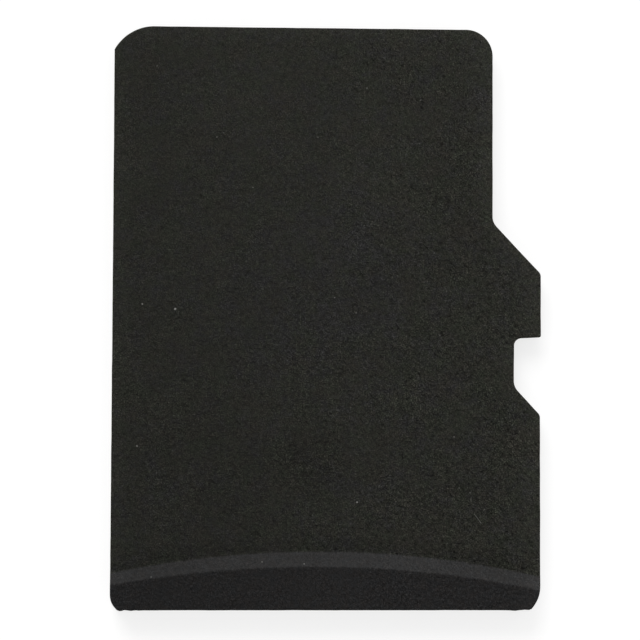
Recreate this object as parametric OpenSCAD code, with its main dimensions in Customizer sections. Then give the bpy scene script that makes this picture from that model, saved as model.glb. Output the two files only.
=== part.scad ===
// Micro memory card, blank black label side.
// The card lies on its contact side. +Z is up, out of the label side, +Y points to the
// contact end and +X to the side with the lug and the notch. The origin is the centre of
// the 11 x 15 mm box, on the plane that the card rests on.

/* [Outline] */
// Width across the tail and the lug
card_w = 11.0; // [10.8:0.05:11.4]
// Length from the contact end to the tail
card_l = 15.0; // [14.8:0.05:15.6]
// Width of the narrow front part that carries the contacts
neck_w = 9.77; // [9.6:0.01:9.9]
// From the contact end to the corner where the neck starts to widen
neck_l = 5.03; // [4.6:0.01:5.3]
// From the contact end to the front corner of the lug
lug_start = 6.35; // [6.2:0.01:6.5]
// From the contact end to the rear corner of the lug
lug_end = 7.98; // [7.8:0.01:8.1]
// How far the shoulder behind the lug leans back towards the tail
shoulder_lean = 0.04; // [0.02:0.01:0.08]
// Depth of the notch behind the lug
notch_depth = 0.68; // [0.6:0.01:0.75]
// From the contact end to the end of the notch's flat floor
notch_end = 9.26; // [9.1:0.01:9.4]
// From the contact end to the corner where the full width starts again
tail_start = 9.99; // [9.8:0.01:10.2]
// Radius of the front corner on the straight side
corner_left_r = 1.15; // [0.9:0.01:1.3]
// How far that corner's arc runs past the straight side, which leaves a slight kink
corner_left_over = 0.14; // [0.05:0.01:0.18]
// Radius of the front corner on the notch side
corner_right_r = 0.69; // [0.5:0.01:0.9]
// Radius of the tail corner on the straight side
tail_left_r = 0.47; // [0.4:0.01:0.6]
// How far the saw cut at the tail runs into that corner's arc
tail_left_cut = 0.10; // [0.05:0.01:0.15]
// Radius of the tail corner on the notch side
tail_right_r = 0.85; // [0.7:0.01:1.0]
// How far the saw cut at the tail runs into that corner's arc
tail_right_cut = 0.22; // [0.1:0.01:0.3]
// Radius inside the corner between the neck and the slope, and at the end of the notch floor
slope_fillet_r = 0.40; // [0.2:0.01:0.5]
// Radius inside the corner between the shoulder and the notch floor
shoulder_fillet_r = 0.20; // [0.1:0.01:0.3]
// Radius on the two blunt corners where a slope meets the full width
slope_end_r = 0.17; // [0.1:0.01:0.3]
// Radius on the lug's sharp rear corner
lug_r = 0.04; // [0.02:0.01:0.1]

/* [Section] */
// Thickness ahead of the grip ridge
card_t = 0.70; // [0.65:0.01:0.78]
// Thickness at the grip ridge
ridge_t = 1.00; // [0.9:0.01:1.1]
// From the tail to the foot of the ridge, on its centre line
ridge_foot = 1.50; // [1.3:0.01:1.7]
// From the tail to the crest of the ridge, on its centre line
ridge_crest = 1.11; // [1.0:0.01:1.2]
// Radius of the foot of the ridge in plan
ridge_r = 26.6; // [22:0.1:34]
// Sideways offset of the ridge's centre line towards the straight side
ridge_shift = 0.17; // [0:0.01:0.3]

/* [Laminate] */
// Thickness of the solder mask on the contact side
mask_t = 0.030; // [0.025:0.001:0.04]
// How far the contacts lie below the mask's outer face
contact_recess = 0.010; // [0.005:0.001:0.015]
// Thickness of the glass and epoxy core
core_t = 0.100; // [0.08:0.005:0.12]
// Thickness of the copper on the die side
trace_t = 0.020; // [0.012:0.001:0.025]
// Thickness of the solder mask on the die side
die_mask_t = 0.030; // [0.028:0.001:0.04]

/* [Contacts] */
// Distance from one contact to the next
contact_pitch = 1.10; // [1.05:0.01:1.15]
// Width of a contact
contact_w = 0.80; // [0.7:0.01:0.85]
// From the contact end to the start of a signal contact
signal_start = 1.10; // [1.0:0.01:1.2]
// From the contact end to the start of the two supply contacts
supply_start = 0.80; // [0.75:0.01:0.9]
// From the contact end to the rear end of all contacts
contact_end = 4.00; // [3.9:0.01:4.2]
// Corner radius of a contact
contact_r = 0.12; // [0.05:0.01:0.2]
// How far the mask laps over the edge of a contact
mask_lap = 0.05; // [0.03:0.01:0.08]
// From the contact end to the row of vias
via_row = 0.42; // [0.35:0.01:0.5]
// Diameter of a via
via_d = 0.12; // [0.1:0.01:0.15]
// Diameter of a via's land
land_d = 0.30; // [0.25:0.01:0.34]
// Width of a trace
trace_w = 0.08; // [0.06:0.01:0.1]

/* [Dies] */
// Least thickness of moulding between a die and the card's edge
mould_wall = 0.45; // [0.3:0.01:0.6]
// Length of the flash die along the card
flash_l = 8.00; // [7.5:0.05:8.3]
// Thickness of the flash die
flash_t = 0.120; // [0.1:0.005:0.14]
// Width of the controller die
control_w = 3.80; // [3.7:0.05:4.2]
// Length of the controller die along the card
control_l = 2.00; // [1.8:0.05:2.2]
// Thickness of the controller die
control_t = 0.100; // [0.08:0.005:0.12]
// Thickness of the adhesive film under a die
film_t = 0.020; // [0.015:0.001:0.03]
// Gap between a die and the row of bond fingers beside it
finger_gap = 0.30; // [0.25:0.01:0.35]

/* [Bond wires] */
// Diameter of a bond wire
wire_d = 0.025; // [0.02:0.001:0.03]
// Height of a wire's loop above the die
loop_h = 0.10; // [0.08:0.01:0.13]
// Diameter of the ball on the die
ball_d = 0.06; // [0.05:0.005:0.07]
// Height of the ball on the die
ball_h = 0.02; // [0.015:0.001:0.025]
// Distance from the die's edge to the balls
pad_inset = 0.10; // [0.08:0.01:0.12]
// Length of the flattened end on the finger
stitch_l = 0.06; // [0.05:0.01:0.08]
// Number of lines between the flash die and the controller
bus_count = 12; // [8:1:13]
// Distance between those lines
bus_pitch = 0.28; // [0.24:0.01:0.28]
// Distance between the lines from the contacts at the controller
host_pitch = 0.42; // [0.36:0.01:0.46]
// Width of a bond finger
finger_w = 0.12; // [0.1:0.01:0.14]
// Length of a finger that takes one wire
finger_l = 0.25; // [0.2:0.01:0.3]
// Length of a finger that takes two wires
shared_finger_l = 0.50; // [0.45:0.01:0.6]

/* [Capacitors] */
// Length of a capacitor
cap_l = 0.60; // [0.55:0.01:0.65]
// Width and height of a capacitor
cap_w = 0.30; // [0.27:0.01:0.33]
// Length of its plated ends
cap_end_l = 0.15; // [0.12:0.01:0.18]
// Thickness of the plating
cap_plate_t = 0.015; // [0.01:0.001:0.02]
// Thickness of the solder under the ends
solder_t = 0.015; // [0.01:0.001:0.02]
// How far the solder fillet reaches past each end
solder_toe = 0.10; // [0.08:0.01:0.12]
// Clearance between the mask and the copper in its openings
window_gap = 0.06; // [0.04:0.01:0.08]
// Gap from the controller to the capacitors beside it
cap_gap = 0.50; // [0.4:0.01:0.6]

/* [Hidden] */
// Contacts from the notch side to the straight side
signals = ["dat2", "dat3", "cmd", "vdd", "clk", "vss", "dat0", "dat1"];
contact_count = len(signals);
function contact_name(n) = str("contact_", n, "_", signals[n - 1]);
$fn = 96;

// Levels of the stack, from the plane that the card rests on
core_z = mask_t;
copper_z = core_z + core_t;
copper_top = copper_z + trace_t;
die_mask_top = copper_z + die_mask_t;
flash_z = die_mask_top + film_t;
flash_top = flash_z + flash_t;
control_top = flash_z + control_t;

// Places along the card
front_y = card_l / 2;
tail_y = -card_l / 2;
side_x = card_w / 2;
neck_x = -side_x + neck_w;
neck_mid = -side_x + neck_w / 2;
floor_x = side_x - notch_depth;
flash_w = card_w - notch_depth - 2 * mould_wall;
flash_x = -side_x + mould_wall;
flash_y = tail_y + mould_wall;
flash_front = flash_y + flash_l;
bus_y = flash_front + finger_gap;
control_y = bus_y + shared_finger_l + finger_gap;
control_x = neck_mid - control_w / 2;
control_front = control_y + control_l;
host_y = control_front + finger_gap;
host_end = host_y + finger_l;
via_y = front_y - via_row;

// Overlap of shapes that join, and reach of cutters past what they cut
join = 0.005;
over = 0.5;

// A wire's loop: where it leaves the vertical and where its flat top starts and ends, and
// where it turns down to the finger, as shares of the loop's height and of the wire's run
neck_share = 0.65;
crown_start = 0.12;
crown_end = 0.45;
knee_run = 0.85;
knee_rise = 0.35;

black = [0.155, 0.155, 0.147];
mask_black = [0.10, 0.11, 0.105];
resin = [0.42, 0.40, 0.24];
gold = [0.85, 0.68, 0.33];
silicon = [0.36, 0.38, 0.42];
film_grey = [0.75, 0.74, 0.70];
ceramic_tan = [0.62, 0.50, 0.37];
tin = [0.80, 0.80, 0.82];

function unit(v) = v / norm(v);
function along(n, count, pitch) = (n - (count + 1) / 2) * pitch;

// The corner at p between the ways to a and b, less the circle of radius r that touches both
module spandrel(a, p, b, r) {
    u = unit(a - p);
    v = unit(b - p);
    half = acos(u * v) / 2;
    reach = r / tan(half);
    centre = p + unit(u + v) * r / sin(half);
    difference() {
        polygon([p, p + u * reach, centre, p + v * reach]);
        translate(centre) circle(r);
    }
}

// What a corner arc of radius r around c takes away in the quadrant that sx and sy give
module corner_waste(c, r, sx, sy) {
    difference() {
        translate([c[0] + (sx < 0 ? -r - over : 0), c[1] + (sy < 0 ? -r - over : 0)])
            square(r + over);
        translate(c) circle(r);
    }
}

// The card in plan: a sharp outline whose corners are then rounded one by one
module outline() {
    sharp = [
        [-side_x, front_y],
        [neck_x, front_y],
        [neck_x, front_y - neck_l],
        [side_x, front_y - lug_start],
        [side_x, front_y - lug_end],
        [floor_x, front_y - lug_end - shoulder_lean],
        [floor_x, front_y - notch_end],
        [side_x, front_y - tail_start],
        [side_x, tail_y],
        [-side_x, tail_y]
    ];
    difference() {
        union() {
            polygon(sharp);
            spandrel(sharp[1], sharp[2], sharp[3], slope_fillet_r);
            spandrel(sharp[4], sharp[5], sharp[6], shoulder_fillet_r);
            spandrel(sharp[5], sharp[6], sharp[7], slope_fillet_r);
        }
        spandrel(sharp[2], sharp[3], sharp[4], slope_end_r);
        spandrel(sharp[3], sharp[4], sharp[5], lug_r);
        spandrel(sharp[6], sharp[7], sharp[8], slope_end_r);
        corner_waste([-side_x + corner_left_r - corner_left_over, front_y - corner_left_r],
            corner_left_r, -1, 1);
        corner_waste([neck_x - corner_right_r, front_y - corner_right_r],
            corner_right_r, 1, 1);
        corner_waste([side_x - tail_right_r, tail_y + tail_right_r - tail_right_cut],
            tail_right_r, 1, -1);
        corner_waste([-side_x + tail_left_r, tail_y + tail_left_r - tail_left_cut],
            tail_left_r, -1, -1);
    }
}

// The outline between two levels
module slab(z0, z1) {
    translate([0, 0, z0]) linear_extrude(z1 - z0) outline();
}

// A rectangle from its lower left corner with round corners
module pad_shape(x, y, w, l, r) {
    translate([x + r, y + r]) {
        translate([-r, 0]) square([w, l - 2 * r]);
        translate([0, -r]) square([w - 2 * r, l]);
        for (i = [0, 1], j = [0, 1])
            translate([i * (w - 2 * r), j * (l - 2 * r)]) circle(r);
    }
}

module block(x, y, z, w, l, h) {
    translate([x, y, z]) cube([w, l, h]);
}

function contact_x(n) = neck_mid - along(n, contact_count, contact_pitch);
function host_x(n) = neck_mid - along(n, contact_count, host_pitch);
function bus_x(n) = neck_mid + along(n, bus_count, bus_pitch);
function is_supply(n) = signals[n - 1] == "vdd" || signals[n - 1] == "vss";
function contact_start(n) = is_supply(n) ? supply_start : signal_start;

// One contact in plan, grown by lap on every side
module contact_shape(n, lap) {
    start = contact_start(n);
    pad_shape(contact_x(n) - contact_w / 2 - lap, front_y - contact_end - lap,
        contact_w + 2 * lap, contact_end - start + 2 * lap, contact_r + lap);
}

// A straight trace between two points
module trace_line(a, b) {
    way = b - a;
    translate(a) rotate(atan2(way[1], way[0]))
        translate([0, -trace_w / 2]) square([norm(way), trace_w]);
}

module via(n) {
    translate([contact_x(n), via_y, core_z - join])
        cylinder(d = via_d, h = core_t + 2 * join);
}

// The plated copper of one contact: its pad, the tail to its via, the via, and on the
// die side the land, the trace and the finger that the controller's wire is bonded to
module contact(n) {
    x = contact_x(n);
    translate([0, 0, contact_recess]) linear_extrude(mask_t - contact_recess) union() {
        contact_shape(n, mask_lap);
        translate([x - trace_w / 2, front_y - contact_start(n)])
            square([trace_w, contact_start(n) - via_row]);
        translate([x, via_y]) circle(d = land_d);
    }
    via(n);
    translate([0, 0, copper_z]) linear_extrude(trace_t) union() {
        translate([x, via_y]) circle(d = land_d);
        trace_line([host_x(n), host_end - trace_w / 2], [x, via_y]);
        translate([host_x(n) - finger_w / 2, host_y]) square([finger_w, finger_l]);
    }
}

module contact_side_mask() {
    color(mask_black) difference() {
        slab(0, mask_t);
        for (n = [1:contact_count]) {
            contact(n);
            translate([0, 0, -over]) linear_extrude(over + contact_recess + join)
                contact_shape(n, 0);
        }
    }
}

module laminate_core() {
    color(resin) difference() {
        slab(core_z, copper_z);
        for (n = [1:contact_count]) via(n);
    }
}

// Capacitors: one beside the controller on the straight side, two on the notch side
cap_x = [control_x - cap_gap - cap_w, control_x + control_w + cap_gap,
         control_x + control_w + cap_gap];
cap_y = [control_y + control_l / 2, control_y + cap_l, control_y + control_l];
cap_z = copper_top + solder_t;
land_l = cap_end_l + solder_toe;

// Places the children at capacitor i, with the chip's middle on the y axis of its own frame
module at_cap(i) {
    translate([cap_x[i] + cap_w / 2, cap_y[i], 0]) children();
}

module cap_ceramic() {
    t = cap_plate_t;
    block(-cap_w / 2 + t, -cap_l / 2 + t, cap_z + t, cap_w - 2 * t, cap_l - 2 * t, cap_w - 2 * t);
}

module cap_end(side) {
    difference() {
        block(-cap_w / 2, side < 0 ? -cap_l / 2 : cap_l / 2 - cap_end_l, cap_z,
            cap_w, cap_end_l, cap_w);
        cap_ceramic();
    }
}

// Solder under one end, with its fillet up the end face
module cap_solder(side) {
    rise = cap_w / 2;
    inner = cap_l / 2 - cap_end_l;
    outer = cap_l / 2;
    mirror([0, side < 0 ? 1 : 0, 0])
        translate([-cap_w / 2, 0, 0]) rotate([90, 0, 90]) linear_extrude(cap_w)
            polygon([[inner, copper_top], [outer + solder_toe, copper_top],
                [outer, cap_z + rise], [outer, cap_z], [inner, cap_z]]);
}

module cap_land(side) {
    inner = cap_l / 2 - cap_end_l;
    mirror([0, side < 0 ? 1 : 0, 0])
        block(-cap_w / 2, inner, copper_z, cap_w, land_l, trace_t);
}

module capacitor_lands() {
    color(gold) for (i = [0:2], side = [-1, 1]) at_cap(i) cap_land(side);
}

module capacitor_ends() {
    color(tin) for (i = [0:2], side = [-1, 1]) at_cap(i) cap_end(side);
}

module solder_joints() {
    color(tin) for (i = [0:2], side = [-1, 1]) at_cap(i) cap_solder(side);
}

module capacitor(i) {
    color(ceramic_tan) at_cap(i - 1) cap_ceramic();
}

// The row of fingers that the flash die and the controller share
module bond_fingers() {
    color(gold) for (n = [1:bus_count])
        block(bus_x(n) - finger_w / 2, bus_y, copper_z, finger_w, shared_finger_l, trace_t);
}

// Openings in the die side's mask, round the fingers and under the capacitors
module mask_windows() {
    g = window_gap;
    bus_run = (bus_count - 1) * bus_pitch + finger_w;
    host_run = (contact_count - 1) * host_pitch + finger_w;
    block(neck_mid - bus_run / 2 - g, bus_y - g, copper_z - over,
        bus_run + 2 * g, shared_finger_l + 2 * g, over + die_mask_t + over);
    block(neck_mid - host_run / 2 - g, host_y - g, copper_z - over,
        host_run + 2 * g, finger_l + g, over + die_mask_t + over);
    for (i = [0:2]) at_cap(i)
        block(-cap_w / 2 - g, -cap_l / 2 - solder_toe - g, copper_z - over,
            cap_w + 2 * g, cap_l + 2 * solder_toe + 2 * g, over + die_mask_t + over);
}

module die_side_mask() {
    color(mask_black) difference() {
        slab(copper_z, die_mask_top);
        mask_windows();
        for (n = [1:contact_count]) contact(n);
    }
}

module flash_die() {
    color(silicon) block(flash_x, flash_y, flash_z, flash_w, flash_l, flash_t);
}

module flash_die_film() {
    color(film_grey) block(flash_x, flash_y, die_mask_top, flash_w, flash_l, film_t);
}

module controller_die() {
    color(silicon) block(control_x, control_y, flash_z, control_w, control_l, control_t);
}

module controller_die_film() {
    color(film_grey) block(control_x, control_y, die_mask_top, control_w, control_l, film_t);
}

// Both sides of a line through the points of path, t apart, with mitred corners
function normal(a, b) = let (w = unit(b - a)) [-w[1], w[0]];
function mitre(path, i) =
    i == 0 ? normal(path[0], path[1]) :
    i == len(path) - 1 ? normal(path[i - 1], path[i]) :
    let (m = normal(path[i - 1], path[i]), n = normal(path[i], path[i + 1]))
        (m + n) / (1 + m * n);
function ribbon(path, t) = concat(
    [for (i = [0:len(path) - 1]) path[i] + mitre(path, i) * t / 2],
    [for (i = [len(path) - 1:-1:0]) path[i] - mitre(path, i) * t / 2]);

// A bond wire from a ball on a die to a finger that starts finger_gap past the die's edge.
// It stands at the origin of x, and side gives the way that it runs along y.
module bond_wire(x, die_edge, die_top, side) {
    run = pad_inset + finger_gap;
    top = die_top + loop_h;
    foot = copper_top + wire_d / 2;
    path = [
        [0, die_top + ball_h / 2],
        [0, die_top + neck_share * loop_h],
        [crown_start * run, top - wire_d / 2],
        [crown_end * run, top - wire_d / 2],
        [knee_run * run, foot + knee_rise * (top - foot)],
        [run + stitch_l, foot],
        [run + 2 * stitch_l, foot]
    ];
    translate([x, die_edge - side * pad_inset, 0]) mirror([0, side < 0 ? 1 : 0, 0]) {
        translate([-wire_d / 2, 0, 0]) rotate([90, 0, 90])
            linear_extrude(wire_d) polygon(ribbon(path, wire_d));
        translate([0, 0, die_top]) cylinder(d = ball_d, h = ball_h, $fn = 8);
    }
}

module flash_bond_wires() {
    color(gold) for (n = [1:bus_count]) bond_wire(bus_x(n), flash_front, flash_top, 1);
}

module controller_bus_wires() {
    color(gold) for (n = [1:bus_count]) bond_wire(bus_x(n), control_y, control_top, -1);
}

module controller_host_wires() {
    color(gold) for (n = [1:contact_count])
        bond_wire(host_x(n), control_front, control_top, 1);
}

// The moulding above the ramp's foot is kept inside a cone, whose flank is the ramp
module ridge_space() {
    foot_r = ridge_r;
    crest_r = ridge_r - (ridge_foot - ridge_crest);
    rise = ridge_t - card_t;
    slope = (foot_r - crest_r) / rise;
    translate([-ridge_shift, tail_y + ridge_foot - foot_r, card_t - join])
        cylinder(r1 = foot_r + slope * join, r2 = crest_r, h = rise + join, $fn = 360);
}

module moulded_body() {
    color(black) difference() {
        union() {
            slab(copper_z, card_t);
            intersection() {
                slab(card_t - join, ridge_t);
                ridge_space();
            }
        }
        die_side_mask();
        for (n = [1:contact_count]) contact(n);
        bond_fingers();
        capacitor_lands();
        flash_die_film();
        flash_die();
        controller_die_film();
        controller_die();
        flash_bond_wires();
        controller_bus_wires();
        controller_host_wires();
        for (i = [1:3]) capacitor(i);
        capacitor_ends();
        solder_joints();
    }
}

moulded_body();
contact_side_mask();
laminate_core();
die_side_mask();
for (n = [1:contact_count])
    color(gold) contact(n);
bond_fingers();
capacitor_lands();
flash_die();
flash_die_film();
controller_die();
controller_die_film();
flash_bond_wires();
controller_bus_wires();
controller_host_wires();
for (i = [1:3])
    capacitor(i);
capacitor_ends();
solder_joints();
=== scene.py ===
"""A blank black micro memory card: the finish of every piece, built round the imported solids."""

import math

import bmesh
import bpy
import numpy as np
from bpy.props import FloatProperty, FloatVectorProperty, PointerProperty
from bpy.types import Operator, Panel, PropertyGroup
from mathutils import Matrix, Vector
from mathutils.geometry import delaunay_2d_cdt


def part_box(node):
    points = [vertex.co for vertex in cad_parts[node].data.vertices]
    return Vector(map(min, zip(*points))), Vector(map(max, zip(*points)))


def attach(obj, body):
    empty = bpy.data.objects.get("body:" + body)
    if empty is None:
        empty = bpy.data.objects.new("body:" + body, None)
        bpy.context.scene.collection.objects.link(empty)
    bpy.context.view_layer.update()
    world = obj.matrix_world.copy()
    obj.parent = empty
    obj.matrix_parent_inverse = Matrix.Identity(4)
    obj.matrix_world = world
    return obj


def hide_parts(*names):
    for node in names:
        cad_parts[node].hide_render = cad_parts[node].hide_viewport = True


bl_info = {
    "name": "Micro memory card",
    "version": (1, 0, 0),
    "blender": (4, 5, 0),
    "location": "View3D > Sidebar > Card",
    "description": "Dresses the solids of a blank black micro memory card",
    "category": "Object",
}

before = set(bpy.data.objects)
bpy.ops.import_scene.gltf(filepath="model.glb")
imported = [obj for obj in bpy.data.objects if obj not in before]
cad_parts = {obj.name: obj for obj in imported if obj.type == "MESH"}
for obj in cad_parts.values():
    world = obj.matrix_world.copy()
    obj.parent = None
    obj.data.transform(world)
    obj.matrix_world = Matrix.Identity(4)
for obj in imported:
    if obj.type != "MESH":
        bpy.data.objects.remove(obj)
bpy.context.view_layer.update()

MM = 0.001

# The card's own box and the heights at which its layers meet
CARD_LOW, CARD_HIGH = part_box("moulded_body")
HALF_WIDTH = (CARD_HIGH[0] - CARD_LOW[0]) / 2
HALF_LENGTH = (CARD_HIGH[1] - CARD_LOW[1]) / 2
RIDGE_TOP = CARD_HIGH[2]
MASK_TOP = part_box("contact_side_mask")[1][2]
CORE_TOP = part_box("laminate_core")[1][2]
LAMINATE_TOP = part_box("die_side_mask")[1][2]

# The first seed of the lattice noises; each noise adds its own number
SEED = 7

# How near the outline a packed point counts as on it, how near two points or two heights count
# as one, and how far the loose points of a face stay from its edges
WALL_REACH = 0.15 * MM
WELD = 0.00001 * MM
SAME = 0.0001 * MM
LOOSE_MARGIN = 0.03 * MM

# How near the tail's end a point counts as on the saw cut there
TAIL_REACH = 0.03 * MM

# Distance between the outline's points on its arcs and on its straight runs
ARC_STEP = 0.03 * MM
RUN_STEP = 0.06 * MM

# Share of the ramp over which its foot and its crest are eased on either side, and the shares
# of the way from foot to crest at which the label face has rows of points
RAMP_BLEND = 0.12
RAMP_ROWS = (-0.5, -0.3, -0.16, -0.06, 0.04, 0.14, 0.3, 0.5, 0.7, 0.86, 0.96, 1.06, 1.16, 1.3,
             1.5)

# Angle in degrees from which an edge is drawn sharp
SHARP = 40

# The shares of its height at which the moulding's wall has rows of points, and the angles in
# degrees of the rows on a rounded edge
WALL_ROWS = (0.08, 0.22, 0.36, 0.5, 0.64, 0.78, 0.9)
ROUND_ROWS = (0, 22.5, 45, 67.5, 90)

# Distance over which the mask sinks beside the copper under it
COPPER_SHOULDER = 0.05 * MM

# What the triangulation gives, which is the triangles inside the outermost edges, and how near
# in millimetres two of its points count as one
INSIDE = 1
NEAR = 1e-6

# Radius of the floor, how far below the card it lies, its grey and its own glow
FLOOR_REACH = 400 * MM
FLOOR_DROP = 0.01 * MM
FLOOR_GREY = (0.32, 0.32, 0.32)
FLOOR_GLOW = 0.73

# The room's light on the card, and the key lamp's strength, spread in degrees and direction
ROOM_LIGHT = 0.62
KEY_LIGHT = 1.6
KEY_SPREAD = 35
KEY_DIRECTION = (0.25, -0.8, -0.85)

# The photograph's camera, as fitted to the card's corners: its lens in millimetres, its turns
# about X, Y and Z in degrees, and the card's middle as it sees it, in millimetres
LENS = 164.53
CAMERA_TURNS = (-3.99195, -2.46485, 0.39431)
CAMERA_SHIFT = (0.179743, -0.069935, 75.20692)

# Points along each side of a lattice noise's table, before it repeats, and how many points
# are set against all edges at once
LATTICE = 64
BLOCK = 2000


def linear(red, green, blue):
    """A colour given as display values from 0 to 255, as the shaders want it."""
    def one(value):
        share = value / 255
        if share <= 0.04045:
            return share / 12.92
        return ((share + 0.055) / 1.055) ** 2.4
    return (one(red), one(green), one(blue))


def length(name, description, millimetres):
    """A size that the user can change, given in millimetres."""
    return FloatProperty(name=name, description=description, default=millimetres * MM,
                         min=0.0, precision=5, unit="LENGTH", subtype="DISTANCE")


def colour(name, description, display):
    """A colour that the user can change, given as display values."""
    return FloatVectorProperty(name=name, description=description, size=3, min=0.0, max=1.0,
                               default=linear(*display), subtype="COLOR")


class CardSizes(PropertyGroup):
    """Sizes of the card's outline, ridge and edges, and of the meshes' grid"""

    neck_width: length("Neck width", "Width of the narrow front part", 9.77)
    neck_length: length("Neck length", "Contact end to the first slope", 5.018)
    lug_start: length("Lug start", "Contact end to the lug's front corner", 6.342)
    lug_end: length("Lug end", "Contact end to the lug's rear corner", 7.973)
    shoulder_lean: length("Shoulder lean", "How far the shoulder leans to the tail", 0.04)
    notch_depth: length("Notch depth", "Depth of the notch behind the lug", 0.68)
    notch_skew: length("Notch skew", "How far the notch's floor turns off the card's line", 0.006)
    notch_end: length("Notch end", "Contact end to the end of the notch's floor", 9.26)
    tail_start: length("Tail start", "Contact end to where the full width starts again", 9.99)
    front_left_radius: length("Front left radius", "Corner on the straight side", 1.15)
    front_left_over: length("Front left overrun", "How far that arc passes the side", 0.136)
    front_right_radius: length("Front right radius", "Corner on the notch side", 0.69)
    tail_left_radius: length("Tail left radius", "Tail corner on the straight side", 0.47)
    tail_left_cut: length("Tail left cut", "How far the saw cut runs into that arc", 0.10)
    tail_right_radius: length("Tail right radius", "Tail corner on the notch side", 0.85)
    tail_right_cut: length("Tail right cut", "How far the saw cut runs into that arc", 0.22)
    lug_proud: length("Lug proud", "How far the lug stands out past the full width", 0.016)
    tail_in: length("Tail in", "How far the side behind the notch stays within it", 0.008)
    edge_proud: length("Edge proud", "How far the cut edge stands outside its line", 0.008)
    ridge_lean_right: length("Ridge lean, right", "Draw of the ridge's wall, lug side", 0.034)
    ridge_lean_left: length("Ridge lean, left", "Draw of the ridge's wall, straight side", 0.008)
    ridge_lean_tail: length("Ridge lean, tail", "Draw of the ridge's wall at the tail", 0.013)
    shoulder_draw: length("Shoulder draw", "How far the shoulder's wall leans under", 0.045)
    slope_fillet: length("Slope fillet", "Radius inside the two slope corners", 0.40)
    shoulder_fillet: length("Shoulder fillet", "Radius inside the notch", 0.20)
    slope_end_radius: length("Slope end radius", "Radius where a slope meets the side", 0.17)
    lug_radius: length("Lug radius", "Radius on the lug's rear corner", 0.04)
    edge_radius: length("Edge radius", "Worn radius along the upper edge", 0.03)
    thickness: length("Thickness", "Thickness ahead of the finger ridge", 0.70)
    foot_y: length("Ridge foot", "Tail to the ridge's foot on the centre line", 1.50)
    crest_y: length("Ridge crest", "Tail to the ridge's crest on the centre line", 1.107)
    foot_radius: length("Foot radius", "Radius of the foot in plan", 25.6)
    crest_radius: length("Crest radius", "Radius of the crest in plan", 28.5)
    foot_shift: length("Foot shift", "Foot's centre, towards the straight side", 0.11)
    crest_shift: length("Crest shift", "Crest's centre, towards the straight side", 0.25)
    mask_edge: length("Mask edge", "Rounded lower edge of the contact side", 0.012)
    mask_sink: length("Mask sink", "How far the mask sinks where no copper lies under it", 0.006)
    mesh_step: length("Mesh step", "Distance between the points of the label face", 0.06)
    mask_step: length("Mask step", "Distance between the points of the contact side", 0.08)


class CardColours(PropertyGroup):
    """Colours of the card's materials"""

    moulding: colour("Moulding", "Black moulding compound, greenish", (33.5, 35.6, 29.6))
    moulding_brown: colour("Moulding, brown", "Browner clouds in the face", (35.3, 34.2, 30.2))
    moulding_grey: colour("Moulding, grey", "Greyer clouds in the face", (33.9, 33.6, 33.7))
    # The ramp's two colours are paler than the face: partly its own finish, partly painted light
    # where the ramp faces the key lamp.
    ramp: colour("Ramp", "The ramp up to the finger ridge", (44.6, 44.9, 45.4))
    ramp_warm: colour("Ramp, warm", "Browner grains on the ramp", (45.6, 44.5, 44))
    ridge: colour("Ridge", "Top of the finger ridge", (28.9, 29.2, 29.9))
    ridge_warm: colour("Ridge, warm", "Browner grains on the ridge", (30.6, 29, 28.3))
    cut_edge: colour("Cut edge", "Sawn sides of the moulding", (42, 40, 36))
    filler: colour("Filler", "Glass grains that the cut lays open", (96, 94, 88))
    # The rim colour is partly rubbed grain and partly a painted highlight along the rounded upper
    # edge.
    rim_wear_and_highlight: colour("Worn rim", "Upper edge where the grain is rubbed", (56, 52, 42))
    dust: colour("Dust", "Pale specks on the label face", (150, 149, 145))
    solder_mask: colour("Solder mask", "Black mask on both sides of the laminate", (21, 24, 23))
    mask_on_copper: colour("Mask on copper", "The same where copper lies under it", (42, 43, 36))
    resin: colour("Resin", "Epoxy of the sawn core", (70, 62, 38))
    glass: colour("Glass", "Glass yarns in the sawn core", (148, 140, 104))
    gold: colour("Gold", "Plated contacts and fingers", (236, 204, 140))
    silicon: colour("Silicon", "Dies", (88, 94, 106))
    film: colour("Film", "Adhesive film under the dies", (190, 186, 172))
    ceramic: colour("Ceramic", "Capacitor bodies", (158, 126, 92))
    tin: colour("Tin", "Plated ends and solder", (205, 206, 208))


class Value:
    """A socket of a node tree, so that shader maths reads as sums."""

    def __init__(self, tree, socket):
        self.tree = tree
        self.socket = socket

    def __add__(self, other):
        return self.tree.math("ADD", self, other)

    def __sub__(self, other):
        return self.tree.math("SUBTRACT", self, other)

    def __rsub__(self, other):
        return self.tree.math("SUBTRACT", other, self)

    def __mul__(self, other):
        return self.tree.math("MULTIPLY", self, other)

    __radd__ = __add__
    __rmul__ = __mul__


class NodeTree:
    """A material's or a world's nodes, with the few kinds of node that the finishes use."""

    def __init__(self, owner):
        owner.use_nodes = True
        self.nodes = owner.node_tree.nodes
        self.links = owner.node_tree.links
        self.nodes.clear()

    def node(self, kind, settings=None, inputs=None):
        """Adds a node, makes its settings and then sets or links its sockets."""
        made = self.nodes.new(kind)
        for key, value in (settings or {}).items():
            setattr(made, key, value)
        for key, value in (inputs or {}).items():
            self.feed(made.inputs[key], value)
        return made

    def feed(self, socket, value):
        """Links a socket to another one, or sets it to a number, a vector or a colour."""
        if isinstance(value, Value):
            value = value.socket
        if isinstance(value, bpy.types.NodeSocket):
            self.links.new(value, socket)
        elif socket.type == "RGBA":
            socket.default_value = (*value, 1.0)
        else:
            socket.default_value = value

    def math(self, operation, *operands):
        """A Math node on values or numbers."""
        made = self.node("ShaderNodeMath", {"operation": operation}, dict(enumerate(operands)))
        return Value(self, made.outputs[0])

    def seen_directly(self):
        """1 for the rays that show the surroundings as they are, 0 for those that light."""
        path = self.node("ShaderNodeLightPath")
        total = (Value(self, path.outputs["Is Camera Ray"])
                 + Value(self, path.outputs["Is Glossy Ray"])
                 + Value(self, path.outputs["Is Transmission Ray"]))
        return self.math("MINIMUM", total, 1.0)


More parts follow.
